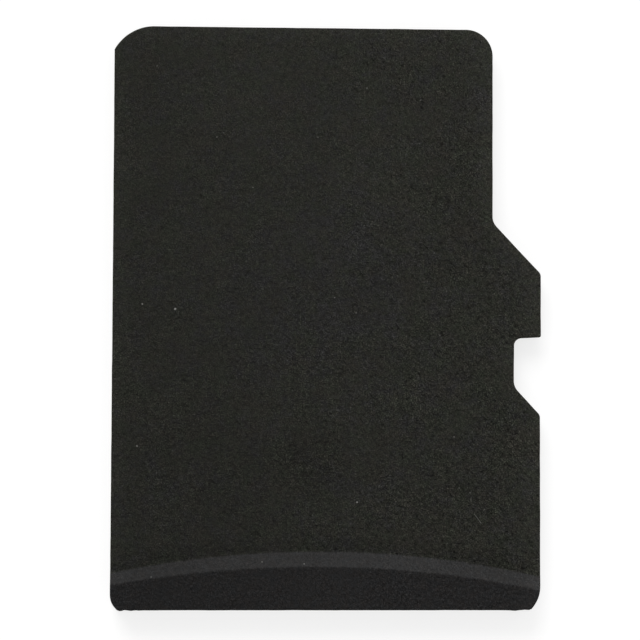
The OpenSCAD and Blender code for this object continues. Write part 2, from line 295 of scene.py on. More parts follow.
class Finish(NodeTree):
    """A material with one Principled shader, and the place on the card in millimetres."""

    def __init__(self, name, **constants):
        self.material = bpy.data.materials.new(name)
        super().__init__(self.material)
        self.shader = self.node("ShaderNodeBsdfPrincipled", inputs=constants)
        self.out = self.node("ShaderNodeOutputMaterial",
                             inputs={"Surface": self.shader.outputs[0]})
        self.where = self.vector("SCALE", self.node("ShaderNodeTexCoord").outputs["Object"],
                                 scale=1 / MM)
        self.x, self.y, self.z = self.parts(self.where)

    def vector(self, operation, first, second=None, scale=None):
        """A Vector Math node on places, colours or directions."""
        inputs = {0: first}
        if second is not None:
            inputs[1] = second
        if scale is not None:
            inputs["Scale"] = scale
        made = self.node("ShaderNodeVectorMath", {"operation": operation}, inputs)
        return made.outputs["Value" if operation == "DISTANCE" else "Vector"]

    def plan(self):
        """The same place laid flat on the card's plane."""
        return self.node("ShaderNodeCombineXYZ", inputs={0: self.x, 1: self.y}).outputs[0]

    def gap(self, where, place):
        """How far a point is from a place."""
        return Value(self, self.vector("DISTANCE", where, place))

    def inside(self, flat, shift, reach, radius):
        """How far a point of the plan lies inside a wide circle that crosses the card."""
        centre = (-shift / MM, (-HALF_LENGTH + reach - radius) / MM, 0.0)
        return radius / MM - self.gap(flat, centre)

    def stretched(self, across, along_card, up):
        """The same place scaled apart along the card's three axes."""
        return self.vector("MULTIPLY", self.where, (across, along_card, up))

    def parts(self, where):
        """The three numbers of a place or a direction."""
        made = self.node("ShaderNodeSeparateXYZ", inputs={0: where})
        return [Value(self, made.outputs[i]) for i in range(3)]

    def facing_up(self):
        """1 where the surface faces straight up, 0 on a wall, rounded edges in between."""
        return self.parts(self.node("ShaderNodeNewGeometry").outputs["Normal"])[2]

    def step(self, value, low, high):
        """A smooth step from 0 at low to 1 at high, where high may be the lower one."""
        made = self.node("ShaderNodeMapRange", {"interpolation_type": "SMOOTHSTEP"},
                         {0: value, 1: low, 2: high, 3: 0.0, 4: 1.0})
        return Value(self, made.outputs[0])

    def slope(self, value, low, high):
        """A straight climb from 0 at low to 1 at high, level beyond both."""
        made = self.node("ShaderNodeMapRange", None, {0: value, 1: low, 2: high, 3: 0.0, 4: 1.0})
        return Value(self, made.outputs[0])

    def mix(self, factor, first, second):
        """A colour between two, the second where the factor is 1."""
        made = self.node("ShaderNodeMix", {"data_type": "RGBA"}, {0: factor, 6: first, 7: second})
        return made.outputs[2]

    def tint(self, shade, factor):
        """A colour made lighter or darker by a factor."""
        return self.vector("SCALE", shade, scale=factor)

    def shifted(self, amount):
        """The same place moved along all three axes, for a noise of its own."""
        return self.vector("ADD", self.where, (amount, amount * 0.7, amount * 0.4))

    def noise(self, where, scale, detail=2.0, roughness=0.5):
        """Noise from about -1 to 1 with bumps about 1 / scale millimetres across."""
        made = self.node("ShaderNodeTexNoise", {"noise_dimensions": "3D"},
                         {"Vector": where, "Scale": scale, "Detail": detail,
                          "Roughness": roughness})
        return Value(self, made.outputs[0]) * 4 - 2

    def turned(self, where, degrees, stretch):
        """The same place turned about +Z and scaled along each axis, for marks with a grain."""
        made = self.node("ShaderNodeMapping", {"vector_type": "TEXTURE"},
                         {"Vector": where, "Rotation": (0, 0, math.radians(degrees)),
                          "Scale": stretch})
        return made.outputs[0]

    def bump(self, height, depth):
        """Feeds the shader's normal from a height in units of depth millimetres."""
        made = self.node("ShaderNodeBump", None, {"Distance": depth * MM, "Height": height})
        self.feed(self.shader.inputs["Normal"], made.outputs[0])

    def put(self, **inputs):
        """Feeds the shader's sockets, named with _ for each space."""
        for key, value in inputs.items():
            self.feed(self.shader.inputs[key.replace("_", " ")], value)


def sizes():
    """The sizes as the sidebar has them now."""
    return bpy.context.scene.card_sizes


def colours():
    """The colours as the sidebar has them now."""
    return bpy.context.scene.card_colours


def arc(centre, radius, start, end):
    """Points on an arc, both ends among them, with angles in radians."""
    count = max(3, math.ceil(abs(end - start) * radius / ARC_STEP))
    angles = np.linspace(start, end, count + 1)
    return np.column_stack([centre[0] + radius * np.cos(angles),
                            centre[1] + radius * np.sin(angles)])


def rounded(before, corner, after, radius):
    """The arc that rounds a corner of a polygon, from the side before it to the one after."""
    before, corner, after = (np.array(p, float) for p in (before, corner, after))
    back = (before - corner) / np.linalg.norm(before - corner)
    ahead = (after - corner) / np.linalg.norm(after - corner)
    half = math.acos(float(back @ ahead)) / 2
    middle = (back + ahead) / np.linalg.norm(back + ahead)
    centre = corner + middle * radius / math.sin(half)
    from_point = corner + back * radius / math.tan(half) - centre
    to_point = corner + ahead * radius / math.tan(half) - centre
    start = math.atan2(from_point[1], from_point[0])
    turn = math.atan2(to_point[1], to_point[0]) - start
    turn = (turn + math.pi) % (2 * math.pi) - math.pi
    return arc(centre, radius, start, start + turn)


def filled(points):
    """A closed run of points with its long gaps divided."""
    out = []
    for here, there in zip(points, np.roll(points, -1, axis=0)):
        count = max(1, math.ceil(np.linalg.norm(there - here) / RUN_STEP))
        for i in range(count):
            out.append(here + (there - here) * i / count)
    return np.array(out)


def smooth(share):
    """A smooth step from 0 at 0 to 1 at 1."""
    share = np.clip(share, 0, 1)
    return share * share * (3 - 2 * share)


def lattice_noise(x, y, size, seed):
    """Smooth noise from -1 to 1 over a plane, with bumps about size across."""
    table = np.random.default_rng(seed).uniform(-1, 1, (LATTICE, LATTICE))
    column, row = x / size, y / size
    left, low = np.floor(column).astype(int), np.floor(row).astype(int)
    u, v = smooth(column - left), smooth(row - low)

    def at(i, j):
        return table[(left + i) % LATTICE, (low + j) % LATTICE]

    return ((at(0, 0) * (1 - u) + at(1, 0) * u) * (1 - v)
            + (at(0, 1) * (1 - u) + at(1, 1) * u) * v)


# Marks of the saw at the tail: place across the card, half width and depth in millimetres.
# A negative depth is a nick.
TAIL_MARKS = (
    (-5.235, 0.06, 0.034),
    (-5.15, 0.04, -0.006),
    (-4.97, 0.12, 0.014),
    (-4.76, 0.09, 0.009),
    (4.84, 0.14, 0.014),
    (5.07, 0.05, -0.018),
    (5.18, 0.08, -0.008),
)

# The tail's cut: its climb to the right, as a slope, and how far it lies up the card, in
# millimetres. Then how far the cut edges wander and how deep the cut scuffs each wall.
TAIL_LEAN = 0.0030
TAIL_RISE = 0.0062
EDGE_WANDER = 0.0035
MOULDING_SCUFF = 0.0018
LAMINATE_SCUFF = 0.0022


def card_outline():
    """The card in plan, counter-clockwise from the tail's right corner."""
    s = sizes()
    left, right = -HALF_WIDTH, HALF_WIDTH
    front, tail = HALF_LENGTH, -HALF_LENGTH
    floor = right - s.notch_depth
    side, lug = right - s.tail_in, right + s.lug_proud
    corners = [
        (side, tail),
        (side, front - s.tail_start),
        (floor - s.notch_skew, front - s.notch_end),
        (floor + s.notch_skew, front - s.lug_end - s.shoulder_lean),
        (lug, front - s.lug_end),
        (lug, front - s.lug_start),
        (left + s.neck_width, front - s.neck_length),
        (left + s.neck_width, front),
        (left, front),
    ]
    radii = [s.slope_end_radius, s.slope_fillet, s.shoulder_fillet, s.lug_radius,
             s.slope_end_radius, s.slope_fillet, s.front_right_radius]

    radius = s.tail_right_radius
    drop = math.asin(1 - s.tail_right_cut / radius)
    centre = (side - radius, tail + radius - s.tail_right_cut)
    runs = [arc(centre, radius, -drop, 0)]
    runs += [rounded(*corners[i:i + 3], radius) for i, radius in enumerate(radii)]
    radius = s.front_left_radius
    end = math.pi - math.acos(1 - s.front_left_over / radius)
    centre = (left + radius - s.front_left_over, front - radius)
    runs.append(arc(centre, radius, math.pi / 2, end))
    radius = s.tail_left_radius
    drop = math.asin(1 - s.tail_left_cut / radius)
    centre = (left + radius, tail + radius - s.tail_left_cut)
    runs.append(arc(centre, radius, math.pi, math.pi + drop))
    return filled(np.vstack(runs))


def outward(points):
    """The outward normals of a closed counter-clockwise run of points."""
    along = np.roll(points, -1, axis=0) - np.roll(points, 1, axis=0)
    along /= np.linalg.norm(along, axis=1)[:, None]
    return np.column_stack([along[:, 1], -along[:, 0]])


def way_round(points):
    """How far round the ring each point lies."""
    steps = np.linalg.norm(np.diff(points, axis=0), axis=1)
    return np.concatenate([[0], np.cumsum(steps)])


def cut_edges(points):
    """The outline with the small wander of its cut edges and the marks of the saw at the tail."""
    run = way_round(points)
    wander = (lattice_noise(run, run * 0, 0.5 * MM, SEED) * 0.6
              + lattice_noise(run, run * 0, 0.16 * MM, SEED + 1) * 0.4)
    out = points + outward(points) * (wander * EDGE_WANDER * MM + sizes().edge_proud)[:, None]
    on_tail = points[:, 1] < -HALF_LENGTH + TAIL_REACH
    x = points[:, 0]
    depth = -TAIL_LEAN * x - TAIL_RISE * MM
    for place, half, deep in TAIL_MARKS:
        depth = depth + smooth(1 - np.abs(x / MM - place) / half) * deep * MM
    out[on_tail, 1] -= depth[on_tail]
    return out


def scuffed(ring, heights, depth, seed):
    """The ring pushed in and out a little, as the cut leaves a wall at these heights."""
    heights = np.broadcast_to(heights, len(ring))
    scuff = lattice_noise(way_round(ring), heights, 0.09 * MM, seed)
    return ring + outward(ring) * (scuff * depth * MM)[:, None]


# Low relief of the mould in the label face: how broad and how deep its swells are, in
# millimetres
RELIEF = ((1.9, 0.0022), (0.55, 0.0013), (0.17, 0.0011))


def leaned(points, heights):
    """The ring with the draw of its walls: round the ridge, and under the notch's shoulder."""
    s = sizes()
    x, y = points[:, 0], points[:, 1]
    risen = np.clip((heights - s.thickness) / (RIDGE_TOP - s.thickness), 0, 1)
    to_right = (x + HALF_WIDTH) / (2 * HALF_WIDTH)
    inward = to_right * s.ridge_lean_right - (1 - to_right) * s.ridge_lean_left
    up_card = risen * s.ridge_lean_tail * -y / HALF_LENGTH
    to_tail = np.clip(-outward(points)[:, 1], 0, 1) * (y > HALF_LENGTH - s.notch_end)
    depth = 1 - np.clip(heights / s.thickness, 0, 1)
    return points + np.column_stack([-risen * inward, up_card + to_tail * depth * s.shoulder_draw])


def ridge_share(x, y):
    """0 on the label face, 1 on the ridge's top, and the share of the ramp in between."""
    s = sizes()
    foot = s.foot_radius - np.hypot(x + s.foot_shift,
                                    y + HALF_LENGTH - s.foot_y + s.foot_radius)
    crest = s.crest_radius - np.hypot(x + s.crest_shift,
                                      y + HALF_LENGTH - s.crest_y + s.crest_radius)
    return foot / np.maximum(foot - crest, 1e-7)


def soft_ramp(share):
    """A straight ramp from 0 to 1 whose foot and crest are eased on either side."""
    def eased(t):
        bend = (t + RAMP_BLEND) ** 2 / (4 * RAMP_BLEND)
        return np.where(t < -RAMP_BLEND, 0, np.where(t > RAMP_BLEND, t, bend))

    return eased(share) - eased(share - 1)


def label_height(x, y):
    """Height of the label face, with the ramp, the ridge and the low relief of the mould."""
    s = sizes()
    share = ridge_share(x, y)
    ramp = soft_ramp(share)
    relief = sum(lattice_noise(x, y, broad * MM, SEED + 2 + i) * deep
                 for i, (broad, deep) in enumerate(RELIEF))
    coarse = smooth((x / MM + 4) / 9)
    calm = 1 - 0.6 * smooth(share * 4 + 0.5)
    return s.thickness + (RIDGE_TOP - s.thickness) * ramp + relief * MM * (0.6 + coarse) * calm


def label_points():
    """Points inside the label face: a grid that follows the ramp's foot and crest."""
    s = sizes()
    step = s.mesh_step
    points = []
    for x in np.arange(-HALF_WIDTH + step / 2, HALF_WIDTH, step):
        foot = (-HALF_LENGTH + s.foot_y - s.foot_radius
                + math.sqrt(s.foot_radius ** 2 - (x + s.foot_shift) ** 2))
        crest = (-HALF_LENGTH + s.crest_y - s.crest_radius
                 + math.sqrt(s.crest_radius ** 2 - (x + s.crest_shift) ** 2))
        rows = [foot + share * (crest - foot) for share in RAMP_ROWS]
        above = np.arange(rows[0] + step, HALF_LENGTH, step)
        below = np.arange(rows[-1] - step, -HALF_LENGTH, -step)
        points += [(x, y) for y in [*above, *rows, *below]]
    return np.array(points)


def grid_points(step):
    """A plain grid of points over the card's box."""
    x, y = np.meshgrid(np.arange(-HALF_WIDTH, HALF_WIDTH, step),
                       np.arange(-HALF_LENGTH, HALF_LENGTH, step))
    return np.column_stack([x.ravel(), y.ravel()])


def within(points, starts, ends):
    """Which points lie inside the closed runs whose edges go from starts to ends."""
    keep = np.zeros(len(points), bool)
    x, y = points[:, 0], points[:, 1]
    for (a, b), (c, d) in zip(starts, ends):
        if b != d:
            crosses = (y > min(b, d)) & (y <= max(b, d))
            keep ^= crosses & (x < a + (y - b) / (d - b) * (c - a))
    return keep


def gap_to(points, starts, ends):
    """How far each point is from the nearest of the edges, worked out a block at a time."""
    edges = ends - starts
    squares = np.maximum((edges ** 2).sum(axis=1), 1e-18)
    gaps = np.empty(len(points))
    for first in range(0, len(points), BLOCK):
        block = points[first:first + BLOCK, None, :] - starts
        share = np.clip((block * edges).sum(axis=2) / squares, 0, 1)
        away = block - share[..., None] * edges
        gaps[first:first + BLOCK] = np.sqrt((away ** 2).sum(axis=2).min(axis=1))
    return gaps


class Skin:
    """The mesh of a piece cut to the card's outline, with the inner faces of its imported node.

    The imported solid's outer wall, its flat face at floor and all from ceiling up are left out,
    and are built anew: finer, along the ring of the cut edge.
    """

    def __init__(self, node, ring, floor, ceiling):
        self.name = node
        self.floor = floor
        self.mesh = bmesh.new()
        self.mesh.from_mesh(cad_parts[node].data)
        bmesh.ops.remove_doubles(self.mesh, verts=self.mesh.verts, dist=WELD)
        self.mesh.verts.index_update()
        flat = np.array([v.co[:2] for v in self.mesh.verts])
        on_edge = gap_to(flat, ring, np.roll(ring, -1, axis=0)) < WALL_REACH
        gone = []
        for face in self.mesh.faces:
            heights = [v.co.z for v in face.verts]
            if (all(on_edge[v.index] for v in face.verts) or min(heights) > ceiling - SAME
                    or max(abs(z - floor) for z in heights) < SAME):
                gone.append(face)
        bmesh.ops.delete(self.mesh, geom=gone, context="FACES")

    def holes(self, height):
        """The open edges that the inner faces leave at a height."""
        return [edge for edge in self.mesh.edges if edge.is_boundary
                and all(abs(v.co.z - height) < SAME for v in edge.verts)]

    def row(self, points, heights):
        """New points of the mesh at these places and heights."""
        heights = np.broadcast_to(heights, len(points))
        return [self.mesh.verts.new((x, y, z)) for (x, y), z in zip(points, heights)]

    def edge_row(self, points, heights):
        """A row of the outer wall, with the wall's draw at its heights."""
        return self.row(leaned(points, heights), heights)

    def wall(self, rows):
        """Bands of quads from each closed row of points to the next."""
        for lower, upper in zip(rows, rows[1:]):
            for quad in zip(lower, lower[1:] + lower[:1], upper[1:] + upper[:1], upper):
                self.mesh.faces.new(quad)

    def cover(self, rim, holes, up, loose=(), height_at=None):
        """Closes the face between a rim and its holes with triangles through loose points."""
        edges = [(a, b) for a, b in zip(rim, rim[1:] + rim[:1])]
        edges += [tuple(edge.verts) for edge in holes]
        fixed = list(dict.fromkeys(v for edge in edges for v in edge))
        place = {v: i for i, v in enumerate(fixed)}
        starts = np.array([a.co[:2] for a, _ in edges])
        ends = np.array([b.co[:2] for _, b in edges])
        if len(loose):
            loose = loose[within(loose, starts, ends)]
            loose = loose[gap_to(loose, starts, ends) > LOOSE_MARGIN]
        flat = [Vector(v.co[:2]) / MM for v in fixed] + [Vector(p) / MM for p in loose]
        pairs = [(place[a], place[b]) for a, b in edges]
        _, _, faces, origins, _, _ = delaunay_2d_cdt(flat, pairs, [], INSIDE, NEAR)
        fixed += self.row(loose, height_at(loose[:, 0], loose[:, 1])) if len(loose) else []
        corners = np.array([[origins[i][0] for i in face] for face in faces])
        middles = np.array([v.co[:2] for v in fixed])[corners].mean(axis=1)
        for face in corners[within(middles, starts, ends)]:
            order = face if up else face[::-1]
            self.mesh.faces.new([fixed[i] for i in order])

    def finished(self, finish):
        """The object made of this mesh, standing for its node and riding on the card."""
        open_edges = sum(not edge.is_manifold for edge in self.mesh.edges)
        if open_edges:
            raise RuntimeError(f"{self.name}: {open_edges} edges are open")
        data = bpy.data.meshes.new(self.name + "_skin")
        self.mesh.to_mesh(data)
        self.mesh.free()
        made = add_object(data, finish)
        data.shade_smooth()
        data.set_sharp_from_angle(angle=math.radians(SHARP))
        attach(made, "root")
        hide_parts(self.name)


def add_object(data, finish):
    """Puts a mesh in the scene with its one finish."""
    data.materials.clear()
    data.materials.append(finish.material)
    made = bpy.data.objects.new(data.name, data)
    bpy.context.scene.collection.objects.link(made)
    return made


def dress(node, finish):
    """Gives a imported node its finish."""
    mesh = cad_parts[node].data
    mesh.materials.clear()
    mesh.materials.append(finish.material)


# Pale specks on the label face: place, radius and how pale, in millimetres of the card
SPECKS = (
    (-3.90, 0.19, 0.034, 1.0),
    (0.79, -4.74, 0.026, 0.85),
    (-4.74, 0.31, 0.026, 0.7),
    (-4.85, -3.33, 0.032, 0.5),
    (-0.57, -6.32, 0.020, 0.6),
    (-1.64, -6.27, 0.022, 0.5),
    (-4.46, -6.66, 0.022, 0.4),
    (1.01, 5.95, 0.022, 0.5),
    (0.19, 0.51, 0.022, 0.5),
    (0.75, 0.12, 0.026, 0.3),
    (-1.92, 3.34, 0.018, 0.5),
    (-2.86, 4.64, 0.018, 0.45),
    (-2.68, 4.75, 0.018, 0.35),
    (-0.25, 4.66, 0.020, 0.4),
    (-4.41, 6.47, 0.018, 0.3),
    (0.95, 2.68, 0.018, 0.4),
    (2.91, -0.44, 0.030, 0.2),
    (2.76, 1.68, 0.020, 0.35),
    (3.41, -4.37, 0.018, 0.4),
    (3.69, -4.49, 0.022, 0.35),
    (2.41, 5.65, 0.022, 0.35),
    (4.80, -3.44, 0.020, 0.3),
    (3.28, -3.06, 0.028, 0.3),
)

# The one short scratch: from, to, half its width and how pale
SCRATCH = ((3.80, -5.03), (3.98, -5.27), 0.014, 0.3)

# Deeper pits in the grain: place and radius
PITS = (
    (2.45, 5.68, 0.050),
    (2.47, 5.56, 0.060),
    (2.45, 5.45, 0.045),
    (-0.76, 2.59, 0.040),
    (3.63, -4.46, 0.055),
    (4.03, -3.95, 0.060),
    (4.67, -2.90, 0.045),
    (4.82, -3.00, 0.050),
    (4.33, -3.47, 0.045),
)

# Broad clouds of the label face: middle, reach and the distance within which each is full
MIDDLE_CLOUD = ((-0.5, 1.0, 0), 4.2, 0.5)
LOW_SPOT = ((-0.35, -3.65, 0), 1.4, 0.2)
LOW_BAND = ((-2.5, -3.95, 0), 2.3, 0.4)
PALE_SPOT = ((1.2, 3.6, 0), 2.2, 0.3)

# The ways the grain runs, in degrees from the card's width
DIAGONAL = -56
LENGTHWISE = 88
CROSSWISE = 5

# The label face against its colours: its level, how much paler each millimetre to the right
# and towards the contact end is, and how much darker the ramp and the ridge are
FACE_LEVEL = 0.968
LEVEL_RIGHT = 0.0245
LEVEL_FRONT = 0.0075
RIDGE_LEVEL = 0.026

# Depth in millimetres that one unit of the moulding's relief stands for
RELIEF_DEPTH = 0.019


def card_edge_gap(f):
    """How far a point of the label face lies from the card's nearest straight side."""
    s = sizes()
    front = HALF_LENGTH / MM
    right = HALF_WIDTH / MM
    neck = f.slope(f.y, front - s.lug_start / MM, front - s.neck_length / MM)
    notch = (f.slope(f.y, front - s.tail_start / MM, front - s.notch_end / MM)
             - f.slope(f.y, front - (s.lug_end + s.shoulder_lean) / MM, front - s.lug_end / MM))
    side = right - neck * (2 * right - s.neck_width / MM) - notch * (s.notch_depth / MM)
    gap = f.math("MINIMUM", side - f.x, f.x + right)
    return f.math("MINIMUM", gap, front - f.y)


def speck_cover(f, plan):
    """How much of a point the pale specks and the one short scratch cover."""
    ragged = f.noise(f.shifted(61), 30.0, 1.0, 0.5) * 0.008
    cover = 0.0
    for x, y, radius, pale in SPECKS:
        gap = f.gap(plan, (x, y, 0.0)) + ragged
        cover = f.math("MAXIMUM", f.step(gap, radius * 1.1, radius * 0.3) * pale * 0.75, cover)
    (x0, y0), (x1, y1), half, pale = SCRATCH
    run = math.hypot(x1 - x0, y1 - y0)
    way = ((x1 - x0) / run, (y1 - y0) / run)
    ahead = (f.x - x0) * way[0] + (f.y - y0) * way[1]
    aside = f.math("ABSOLUTE", (f.y - y0) * way[0] - (f.x - x0) * way[1])
    mark = f.step(aside, half, 0.0) * f.step(ahead, -half, half)
    mark = mark * f.step(ahead, run + half, run - half)
    return f.math("MAXIMUM", mark * pale, cover)


def pit_cover(f, plan):
    """How much of a point the few deeper pits of the grain cover."""
    ragged = f.noise(f.shifted(84), 22.0, 1.0, 0.5) * 0.02
    cover = 0.0
    for x, y, radius in PITS:
        gap = f.gap(plan, (x, y, 0.0)) + ragged
        cover = f.math("MAXIMUM", f.step(gap, radius * 1.2, radius * 0.2), cover)
    return cover


class LabelFace:
    """The masks and noises that the moulding's colour, grain and relief share."""

    def __init__(self, f):
        s = sizes()
        self.finish = f
        self.plan = f.plan()
        self.foot = f.inside(self.plan, s.foot_shift, s.foot_y, s.foot_radius)
        self.crest = f.inside(self.plan, s.crest_shift, s.crest_y, s.crest_radius)
        self.past_foot = f.step(self.foot, -0.02, 0.04)
        self.past_crest = f.step(self.crest, -0.035, 0.025)
        self.before_foot = 1 - self.past_foot
        right = f.step(f.x, -2.5, 4.5)
        self.coarse = (0.25 + 0.75 * right) * (1 - 0.7 * self.past_foot)
        self.edge_gap = card_edge_gap(f)
        self.right_rim = f.step(self.edge_gap, 0.9, 0.1) * f.step(f.x, 2.6, 4.2)
        self.low_spot = self.cloud(LOW_SPOT)
        self.pits = pit_cover(f, self.plan)

        self.grain = f.noise(f.where, 12.0, 3.0, 0.65)
        self.fine = f.noise(f.where, 30.0, 2.0, 0.7)
        ovals = f.turned(f.shifted(52), DIAGONAL, (0.115, 0.062, 1.0))
        self.relief = f.noise(ovals, 1.0, 1.0, 0.5)
        lines = f.turned(f.where, DIAGONAL, (0.20, 0.045, 1.0))
        self.streaks = f.noise(lines, 1.0, 3.0, 0.7)

    def cloud(self, shape):
        """1 in the middle of a broad cloud and 0 beyond its reach."""
        middle, reach, full = shape
        return self.finish.step(self.finish.gap(self.plan, middle), reach, full)


def label_shade(f, face):
    """The moulding's colour, in greener, browner and greyer clouds, with the ramp and ridge."""
    shades = colours()
    speckle = f.noise(f.shifted(93), 9.0, 2.0, 0.8)
    tone = f.noise(f.shifted(23), 1.5, 5.0, 0.85) + speckle * 0.3
    cast = f.noise(f.shifted(31), 1.7, 5.0, 0.85) + f.noise(f.shifted(98), 8.0, 2.0, 0.8) * 0.25
    grey = f.step(cast + face.cloud(MIDDLE_CLOUD) * 0.3, -0.3, 0.95)
    warm = f.step(f.noise(f.shifted(77), 3.5, 4.0, 0.9) + speckle * 0.5, -0.6, 0.6)
    shade = f.mix(f.step(tone, -0.6, 0.6), shades.moulding, shades.moulding_brown)
    shade = f.mix(grey, shade, shades.moulding_grey)
    # The ramp's colour carries painted light: it faces the key lamp.
    shade = f.mix(face.past_foot, shade, f.mix(warm, shades.ramp, shades.ramp_warm))
    return f.mix(face.past_crest, shade, f.mix(warm, shades.ridge, shades.ridge_warm))


def label_level(f, face):
    """How much paler or darker than its colour each part of the face is."""
    clouds = f.noise(f.where, 0.45, 3.0, 0.6)
    patches = f.noise(f.shifted(9), 1.7, 3.0, 0.6)
    rows = f.noise(f.turned(f.where, LENGTHWISE, (1.3, 0.09, 1.0)), 1.0, 2.0, 0.5)
    rim = f.step(face.edge_gap, 0.55, 0.0) * (1 - face.past_crest * 0.6)
    # Painted shade: a darker band on the face just before the ramp's foot, where the face meets
    # the ramp.
    painted_foot_shade = f.step(face.foot, -0.6, -0.05) * face.before_foot
    on_ramp = face.past_foot * (1 - face.past_crest)

    level = FACE_LEVEL - face.past_foot * RIDGE_LEVEL + f.x * LEVEL_RIGHT + f.y * LEVEL_FRONT
    level = level + rim * 0.14 + face.right_rim * 0.10
    level = level + clouds * 0.05 + patches * 0.05 + rows * 0.022 * face.before_foot
    level = level - face.past_crest * f.step(face.crest, 0.5, 0.0) * 0.07
    level = level - on_ramp * f.step(f.x, 2.8, 5.4) * 0.07
    # The band before the ramp's foot is painted shade.
    level = level - painted_foot_shade * 0.13 - face.low_spot * 0.18
    return level - face.cloud(LOW_BAND) * 0.08 + face.cloud(PALE_SPOT) * 0.06


def grain_strength(f, face):
    """How strong the grain is: in patches, calmer on the ramp, rougher on the ridge."""
    strength = 0.64 + f.step(f.noise(f.shifted(61), 0.8, 3.0, 0.6), -0.9, 0.9) * 0.42
    strength = strength * (1 - f.y * 0.014) * (1 - face.right_rim * 0.2)
    return strength * (1 - face.past_foot * 0.45 + face.past_crest * 0.42 + face.low_spot * 0.3)


def label_grit(f, face, strength):
    """The grain's light and dark, with painted shade in its hollows, dips and pits, as the power
    of e by which it changes the level.
    """
    # Painted shade: the hollows of the relief, the dips and the pits are darkened.
    hollows = f.step(face.relief, -0.6, -1.4) * (0.25 + 0.35 * face.coarse) * face.before_foot
    dips = f.noise(f.turned(f.shifted(12), CROSSWISE, (0.13, 0.055, 1.0)), 1.0, 1.0, 0.5)
    dips = f.step(dips, -0.42, -0.85) * f.step(f.y, 6.0, 2.0) * face.before_foot
    grit = face.grain * (0.54 + 0.06 * face.coarse) + face.streaks * 0.45 * face.coarse
    grit = (grit + face.fine * (1.31 + 0.42 * face.coarse)) * strength
    return grit - dips * 0.5 - hollows - face.pits * 0.45


def relief_height(f, face):
    """The grain's relief, in units of its depth."""
    hollows = f.step(face.relief, -0.5, -1.3) * (0.1 + face.coarse)
    height = face.relief * (0.3 + 0.9 * face.coarse) - hollows
    return height + face.grain * 0.2 + face.streaks * 0.3 * face.coarse - face.pits * 1.5


def moulding_finish():
    """Black moulding compound: spark-eroded grain, coarser to the right, a smoother ramp."""
    shades = colours()
    f = Finish("moulding", **{"Specular IOR Level": 0.07})
    face = LabelFace(f)
    strength = grain_strength(f, face)
    up = f.facing_up()
    on_face = f.step(up, 0.2, 0.7)
    on_flat = f.step(up, 0.5, 0.97) + face.past_foot

    grit = f.math("EXPONENT", label_grit(f, face, strength))
    shade = f.tint(label_shade(f, face), label_level(f, face) * grit)
    # The rounded upper edge takes the rim colour: partly rubbed grain, partly a painted highlight.
    worn = f.tint(shades.rim_wear_and_highlight, 1 + face.fine * 0.2)
    shade = f.mix(f.math("MINIMUM", on_flat, 1.0), worn, shade)
    filler = f.step(f.noise(f.shifted(40), 24.0, 1.0, 0.5), 0.55, 0.8)
    wall = f.mix(filler, shades.cut_edge, shades.filler)
    wall = f.tint(wall, 1 + face.grain * 0.15 + face.fine * 0.2)
    shade = f.mix(on_face, wall, shade)
    f.put(Base_Color=f.mix(speck_cover(f, face.plan), shade, shades.dust),
          Roughness=0.62 + face.fine * 0.08 - face.past_foot * 0.05)
    f.bump(relief_height(f, face) * strength * on_flat, RELIEF_DEPTH)
    return f


def core_finish():
    """Sawn laminate: pale ends and sides of glass yarns in an olive resin."""
    shades = colours()
    f = Finish("laminate_core", **{"Specular IOR Level": 0.3})
    long_yarns = f.noise(f.stretched(5.0, 5.0, 45.0), 1.0, 2.0, 0.6)
    fibres = f.noise(f.stretched(45.0, 45.0, 70.0), 1.0, 2.0, 0.6)
    glass = f.step(long_yarns + fibres * 0.35, -0.15, 0.45)
    shade = f.mix(glass, shades.resin, shades.glass)
    f.put(Base_Color=f.tint(shade, 1 + fibres * 0.25), Roughness=0.72 - glass * 0.15)
    f.bump(fibres + glass * 1.5, 0.002)
    return f


def mask_finish(name, over_copper):
    """Black solder mask: satin, a touch browner where copper lies close under it."""
    s, shades = sizes(), colours()
    f = Finish(name, **{"Specular IOR Level": 0.42})
    weave = f.noise(f.stretched(2.2, 7.0, 1.0), 1.0, 1.0, 0.5)
    weave = weave + f.noise(f.stretched(7.0, 2.2, 1.0), 1.0, 1.0, 0.5)
    skin = f.noise(f.where, 9.0, 3.0, 0.55)
    fine = f.noise(f.where, 34.0, 2.0, 0.6)
    shade = shades.solder_mask
    if over_copper:
        high = f.step(f.z, s.mask_sink / MM * 0.8, 0.0)
        shade = f.mix(high, shades.solder_mask, shades.mask_on_copper)
    f.put(Base_Color=f.tint(shade, 1 + weave * 0.03 + skin * 0.05 + fine * 0.06),
          Roughness=0.44 + skin * 0.05 + fine * 0.05)
    f.bump(weave * 0.35 + skin * 0.4 + fine * 0.3, 0.0012)
    return f


def grain_finish(name, shade, roughness, metallic=0.0, grain=12.0, depth=0.002, spread=0.06,
                 specular=0.5):
    """A finish of one material with fine grain in its colour, gloss and surface."""
    f = Finish(name, **{"Metallic": metallic, "Specular IOR Level": specular})
    broad = f.noise(f.shifted(3), grain / 8, 2.0, 0.5)
    close = f.noise(f.where, grain, 3.0, 0.6)
    f.put(Base_Color=f.tint(shade, 1 + broad * spread + close * spread),
          Roughness=roughness + close * 0.06 + broad * 0.04)
    f.bump(close, depth)
    return f


def gold_finish():
    """Plated contacts: soft satin gold, drawn with the fine rub lines of a card slot."""
    f = Finish("contact_gold", **{"Metallic": 1.0})
    broad = f.noise(f.shifted(3), 1.4, 2.0, 0.5)
    close = f.noise(f.where, 16.0, 3.0, 0.6)
    rubs = f.noise(f.stretched(34.0, 0.9, 1.0), 1.0, 2.0, 0.7)
    worn = f.step(f.noise(f.stretched(22.0, 0.5, 1.0), 1.0, 1.0, 0.5), 0.55, 0.9)
    f.put(Base_Color=f.tint(colours().gold, 1 + broad * 0.04 + close * 0.04 + rubs * 0.05),
          Roughness=0.30 + close * 0.06 + broad * 0.05 - worn * 0.08)
    f.bump(close + rubs * 0.7 - worn * 0.8, 0.0007)
    return f


